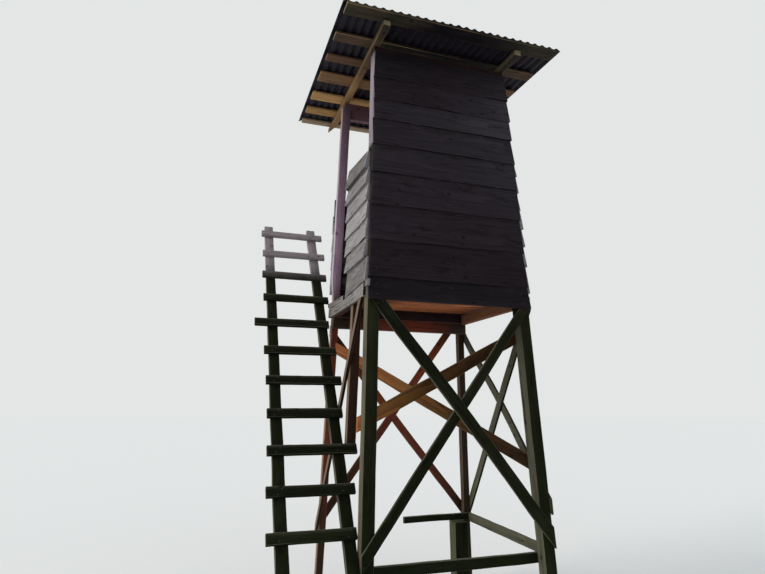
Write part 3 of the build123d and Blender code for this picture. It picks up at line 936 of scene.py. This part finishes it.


# lapped walls, one board after another
# laps: heights of the boards' lower edges above the floor
# shades: along each board; spread: how far a board may differ from them
# cutEnds: the height from which boards show the tone of saw-cut ends, and at which end (0: both)
# underside: how much of that tone their lower edges show, as painted shade under the laps
# lifts: how far each board's lower edge stands out; tilt: how far the upper boards slant
# nearEnds and farEnds: how far each board's ends are moved; ragged: and how far by chance
walls = {
    "back_wall": {
        "laps": (-0.150, 0.030, 0.330, 0.630, 0.910, 1.165, 1.400, 1.590, 1.800, 2.067),
        "wood": "dark", "slot": "dark_boards", "along": toRight, "outward": toBack,
        # the upper boards lighten towards the right: painted light, a haze of backlight from the sky
        # beyond
        "shades": [
            (0.1, 0.05, 0.0), (0.15, 0.15, 0.12), (0.3, 0.2, 0.3), (0.25, 0.3, 0.5),
            (0.4, 0.4, 0.6), (0.35, 0.45, 0.65), (0.35, 0.5, 0.75), (0.15, 0.35, 0.75),
            (0.05, 0.2, 0.6),
        ],
        "spread": 0.04, "ragged": 0.005, "cutEnds": (1.1, 0),
    },
    "left_parapet": {
        "laps": (-0.038, 0.190, 0.352, 0.513, 0.677, 0.834, 0.985, 1.187),
        "wood": "side", "slot": "grey_boards", "along": toFront, "outward": toLeft,
        "shades": plain(0.15, 0.45, 0.6, 0.75, 0.7, 0.4, 0.1),
        "spread": 0.05, "ragged": 0.010, "cutEnds": (-1, -1), "tilt": 0.065,
        "lifts": (0, 0.012, 0.002, 0, 0.005, 0.016, 0.022),
        "nearEnds": (0.004, 0.016, 0.008, 0.02, 0.012, 0.018, 0.024),
        "farEnds": (-0.05, -0.02, 0.03, 0.025, 0.0, 0.01, -0.02),
    },
    "front_parapet": {
        "laps": (-0.020, 0.180, 0.370, 0.560, 0.740, 0.920, 1.100),
        "wood": "front", "slot": "grey_boards", "along": toRight, "outward": toFront,
        # light shades, partly painted light so the overhang left of the cabin shows bright; right of
        # it the inner face takes painted shade
        "shades": plain(0.8, 0.9, 0.9, 1.0, 0.9, 1.0),
        "inside": {"shade": 0.0, "rightOf": -0.485},  # left of it the boards pass the cabin
        "spread": 0.1, "ragged": 0.008, "underside": 0.4,
        "lifts": (0, 0.002, 0, 0.004, 0, 0.003),
    },
    "right_parapet": {
        "laps": (-0.015, 0.220, 0.400, 0.560, 0.740, 0.905, 1.070, 1.180),
        "wood": "grey", "slot": "grey_boards", "along": toFront, "outward": toRight,
        "shades": plain(0.1, 0.3, 0.2, 0.35, 0.3, 0.4, 0.3),
        "spread": 0.1, "ragged": 0.008, "underside": 0.4,
        "lifts": (0, 0.003, 0, 0.004, 0, 0.002, 0.004),
    },
}
boardShape = {
    "floor": 2.65,  # height of the floor
    "butt": 0.034,  # thickness at a board's lower edge
    "edge": 0.0025,
    "loops": 0.07,
    "innerFace": 0.012,  # how deep the inner face counts
    "endZone": 0.06,  # the length that moves with an end
    "endTilt": 0.05,
    "wavy": 0.006,
    "wavesPerMetre": (3.1, 9.0),
    "waver": 0.0012,
    "bulge": 2.5,  # times the waver, and only outwards
    "warpsPerMetre": 1.7,
    "tiltFrom": 3.16,
    "tiltOver": 0.42,
}


def sliceBetween(bm, low, high):
    # Keeps what lies between two heights and closes the cuts
    for height, keepAbove in ((low, True), (high, False)):
        cutAt(
            bm, (0, 0, height), (0, 0, 1), clear_inner=keepAbove, clear_outer=not keepAbove
        )
        rim = [e for e in bm.edges if e.is_boundary]
        if rim:
            bmesh.ops.edgeloop_fill(bm, edges=rim)
    bmesh.ops.recalc_face_normals(bm, faces=bm.faces)
    if bm.calc_volume(signed=True) < 0:
        bmesh.ops.reverse_faces(bm, faces=bm.faces)


def toneBoardEnds(bm, wall, along, low):
    # Takes the saw-cut tone away where it isn't seen, and puts it on undersides as painted shade
    cut = bm.loops.layers.float["cut"]
    lowest, end = wall.get("cutEnds", (math.inf, 0))
    shown = low >= boardShape["floor"] + lowest
    for face in bm.faces:
        under = face.normal.z < -0.5
        atEnd = end == 0 or face.normal.dot(along) * end >= shaping["facing"]
        if under or not (shown and atEnd):
            for loop in face.loops:
                loop[cut] = wall.get("underside", 0.0) if under else 0.0


def paintInsideShade(bm, inside, outward, inner):
    # A dark shade for the face towards the cabin: painted shade of the cabin's inside
    tone = bm.verts.layers.float["shade"]
    for vert in bm.verts:
        isInner = vert.co.dot(outward) < inner + boardShape["innerFace"]
        if isInner and vert.co.x > inside["rightOf"]:
            vert[tone] = inside["shade"]


def makeBoard(nodeName, wall, index, low, high, chance):
    bm = copyOf(nodeName)
    sliceBetween(bm, low, high)
    along = Vector(wall["along"])
    outward = Vector(wall["outward"])
    first, last = reachOf(bm, along)
    inner = min(v.co.dot(outward) for v in bm.verts if v.co.z < low + 0.001)
    roundEdges(bm, boardShape["edge"], along)
    toneBoardEnds(bm, wall, along, low)
    cutAcross(bm, along, boardShape["loops"])
    axes = (along, Vector((0, 0, 1)), outward)
    markGrain(bm, axes, wall["shades"][index], chance, wall["spread"])
    if "inside" in wall:
        paintInsideShade(bm, wall["inside"], outward, inner)

    near, far, lift = [
        wall[key][index] if key in wall else 0 for key in ("nearEnds", "farEnds", "lifts")
    ]
    ends = [chance.uniform(-1, 1) * wall["ragged"] + moved for moved in (near, far)]
    limit = boardShape["endTilt"]
    tilts = [chance.uniform(-limit, limit) for _ in range(2)]
    seed = chance.uniform(0, shaping["seeds"])
    slowWaves, quickWaves = boardShape["wavesPerMetre"]
    for vert in bm.verts:
        place = vert.co.dot(along)
        rise = (vert.co.z - low) / (high - low)
        for end, tilt, fromEnd in zip(ends, tilts, (place - first, last - place)):
            if fromEnd < boardShape["endZone"]:
                vert.co += along * (end + tilt * (rise - 0.5) * (high - low))
        # the lower edge waves and lifts on the outer half of the board's thickness
        outerHalf = clamp((vert.co.dot(outward) - inner) / boardShape["butt"] * 2 - 1)
        wave = noise.noise(Vector((place * slowWaves, seed, 0.0)))
        wave += 0.5 * noise.noise(Vector((place * quickWaves, seed, 4.0)))
        vert.co.z += wave * boardShape["wavy"] * (1 - rise) * outerHalf
        vert.co += outward * lift * (1 - rise) * outerHalf
        slant = clamp((vert.co.z - boardShape["tiltFrom"]) / boardShape["tiltOver"])
        vert.co.z += wall.get("tilt", 0) * slant * (place - (first + last) / 2)
        warp = max(0.0, noise.noise(Vector((place * boardShape["warpsPerMetre"], seed, 9.0))))
        vert.co += outward * warp * boardShape["waver"] * boardShape["bulge"] * (1 - rise)
    return bm


def makeWall(nodeName, wall, chance):
    whole = bmesh.new()
    laps = [boardShape["floor"] + lap for lap in wall["laps"]]
    for index, (low, high) in enumerate(zip(laps, laps[1:])):
        board = makeBoard(nodeName, wall, index, low, high, chance)
        mesh = bpy.data.meshes.new("board")
        board.to_mesh(mesh)
        board.free()
        whole.from_mesh(mesh)
        bpy.data.meshes.remove(mesh)
    name = pieceName(nodeName, "Boards")
    finishPiece(whole, name, wood[wall["wood"]], (nodeName,))


for nodeName, wall in walls.items():
    makeWall(nodeName, wall, chance)
print("walls made")


# several solids in one node: rungs and roof battens, with shades for each from back to front
loose = {
    "ladder_rungs": {
        "wood": "ladder", "slot": "weathered_timber",
        "shades": plain(0.0, 0.05, 0.15, 0.1, 0.05, 0.1, 0.1, 0.15, 0.2, 0.25, 0.3, 0.6, 0.8),
        "edge": 0.003, "loops": 0.06, "waver": 0.0022,
    },
    "roof_battens": {
        "wood": "roof", "slot": "roof_timber",
        # the two back battens go dark in the middle, right of the rafter: painted shade under the back
        # eave
        "shades": [
            (0.1, 0.1, 0.02, 0.0, 0.0, 0.02, 0.1, 0.1),
            (0.22, 0.22, 0.04, 0.0, 0.0, 0.04, 0.2, 0.2),
            *plain(0.36, 0.5, 0.7, 0.84, 0.97),
        ],
        "edge": 0.003, "loops": 0.08, "waver": 0.0012,
    },
}


def makeLoose(nodeName, look, chance):
    bm = copyOf(nodeName)
    along = Vector(toRight)
    axes = axesOf(bm)
    roundEdges(bm, look["edge"], along)
    cutAcross(bm, along, look["loops"])
    markGrain(bm, axes, (0.5,), chance)
    tone = bm.verts.layers.float["shade"]
    groups = islandsOf(bm)
    groups.sort(key=lambda group: sum(v.co.y for v in group) / len(group))
    low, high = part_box(nodeName)
    for group, shades in zip(groups, look["shades"]):
        for vert in group:
            vert[tone] = shadeAt(shades, clamp((vert.co.x - low.x) / (high.x - low.x)))
    waver(bm, along, look["waver"], chance)
    name = pieceName(nodeName, "Timber")
    finishPiece(bm, name, wood[look["wood"]], (nodeName,))


for nodeName, look in loose.items():
    makeLoose(nodeName, look, chance)
print("rungs and battens made")


# corrugated sheets
sheets = {
    "pitch": 0.0745,
    "depth": 0.018,
    "thickness": 0.004,
    "slope": 0.05,
    "lift": 0.0044,
    "waves": 14,
    "perWave": 12,
    "rows": 40,
    "sag": 0.0012,
    "dents": (4, 3),
    "sharpAngle": 60,
}


def makeSheet(nodeName, side):
    # A sheet that starts its waves at its outer edge, on the left (-1) or the right (1)
    low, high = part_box(nodeName)
    width = high.x - low.x
    length = high.y - low.y
    dentsX, dentsY = sheets["dents"]
    bm = bmesh.new()
    bmesh.ops.create_grid(
        bm, x_segments=sheets["waves"] * sheets["perWave"], y_segments=sheets["rows"], size=0.5
    )
    for vert in bm.verts:
        x = low.x + (vert.co.x + 0.5) * width
        y = low.y + (vert.co.y + 0.5) * length
        inwards = x - low.x if side < 0 else high.x - x
        wave = sheets["depth"] / 2 * (1 - math.cos(2 * math.pi * inwards / sheets["pitch"]))
        lift = sheets["lift"] * inwards / width if side > 0 else 0
        dent = noise.noise(Vector((x * dentsX, y * dentsY, 2.0))) * sheets["sag"]
        rise = sheets["slope"] * (y - low.y)
        vert.co = (x, y, low.z + wave + lift + rise + dent + sheets["sag"])
    bmesh.ops.solidify(bm, geom=bm.faces[:], thickness=-sheets["thickness"])
    bmesh.ops.recalc_face_normals(bm, faces=bm.faces)
    name = pieceName(nodeName, "Waves")
    finishPiece(bm, name, corrugated, (nodeName,), sheets["sharpAngle"])


makeSheet("left_roof_sheet", -1)
makeSheet("right_roof_sheet", 1)
print("roof sheets made")


# nails in the rungs, the wall boards and the sheets
cabinMiddle = (0.2196, -0.1060)
rungNails = {
    "radius": 0.006,
    "railMiddles": (-1.0604, -0.5934),
    "ladderSlope": 0.6865,
    "ladderFoot": -1.164 + cabinMiddle[1],
    "firstHeight": 0.291,
    "step": 0.2685,
    "count": 13,
    "apart": (0.014, 0.02),  # from the middle, across the rail and up along it
    "strays": (0.005, 0.004),
    "rayFrom": 0.3,
}
wallNails = {
    "columns": {
        "back_wall": (-0.64, 0.0, 0.64),
        "left_parapet": (-0.585, 0.05),
        "front_parapet": (-0.66, 0.0, 0.66),
        "right_parapet": (-0.585, 0.585),
    },
    "shares": (0.22, 0.7),  # of a board's height
    "narrow": 0.13,  # boards up to this height get one row
    "narrowShares": (0.4,),
    "taper": 0.04,  # the columns lean in by this share for each metre
    "stray": 0.008,
    "rayFrom": 1.2,
}
sheetNails = {
    "radius": 0.009,
    "rows": (-0.78, -0.40, 0.285, 0.66, 1.24),
    "waves": range(0, 13, 3),
    "edge": 1.00575,  # from the cabin's middle to a sheet's outer edge
    "rayFrom": 5.6,
}


def nailRungs(chance):
    slope = rungNails["ladderSlope"]
    outward = Vector((0, -1, slope)).normalized()
    upward = Vector((0, slope, 1)).normalized()
    apart, apartUp = rungNails["apart"]
    stray, strayUp = rungNails["strays"]
    for index in range(rungNails["count"]):
        height = rungNails["firstHeight"] + rungNails["step"] * index
        face = Vector((0, rungNails["ladderFoot"] + slope * height, height))
        for middle in rungNails["railMiddles"]:
            for side in (-1, 1):
                spot = face + upward * (side * apartUp + chance.uniform(-strayUp, strayUp))
                spot.x = middle + side * apart + chance.uniform(-stray, stray)
                start = spot + outward * rungNails["rayFrom"]
                setNail("ladderRungsTimber", start, -outward, rungNails["radius"])


def nailWall(nodeName, columns, chance):
    wall = walls[nodeName]
    along = Vector(wall["along"])
    outward = Vector(wall["outward"])
    laps = wall["laps"]
    stray = wallNails["stray"]
    for low, high in zip(laps, laps[1:]):
        wide = high - low > wallNails["narrow"]
        for share in wallNails["shares"] if wide else wallNails["narrowShares"]:
            height = low + (high - low) * share
            for column in columns:
                place = column * (1 - wallNails["taper"] * height) + chance.uniform(-stray, stray)
                spot = Vector((*cabinMiddle, 0)) + along * place + outward * wallNails["rayFrom"]
                spot.z = boardShape["floor"] + height
                setNail(pieceName(nodeName, "Boards"), spot, -outward)


def nailSheet(nodeName, side):
    for row in sheetNails["rows"]:
        for wave in sheetNails["waves"]:
            inwards = (wave + 0.5) * sheets["pitch"]
            x = cabinMiddle[0] + side * (sheetNails["edge"] - inwards)
            start = (x, cabinMiddle[1] + row, sheetNails["rayFrom"])
            setNail(pieceName(nodeName, "Waves"), start, (0, 0, -1), sheetNails["radius"])


nailRungs(chance)
for nodeName, columns in wallNails["columns"].items():
    nailWall(nodeName, columns, chance)
nailSheet("left_roof_sheet", -1)
nailSheet("right_roof_sheet", 1)
finishPiece(nails, "nailHeads", rustySteel)
print("nails made")
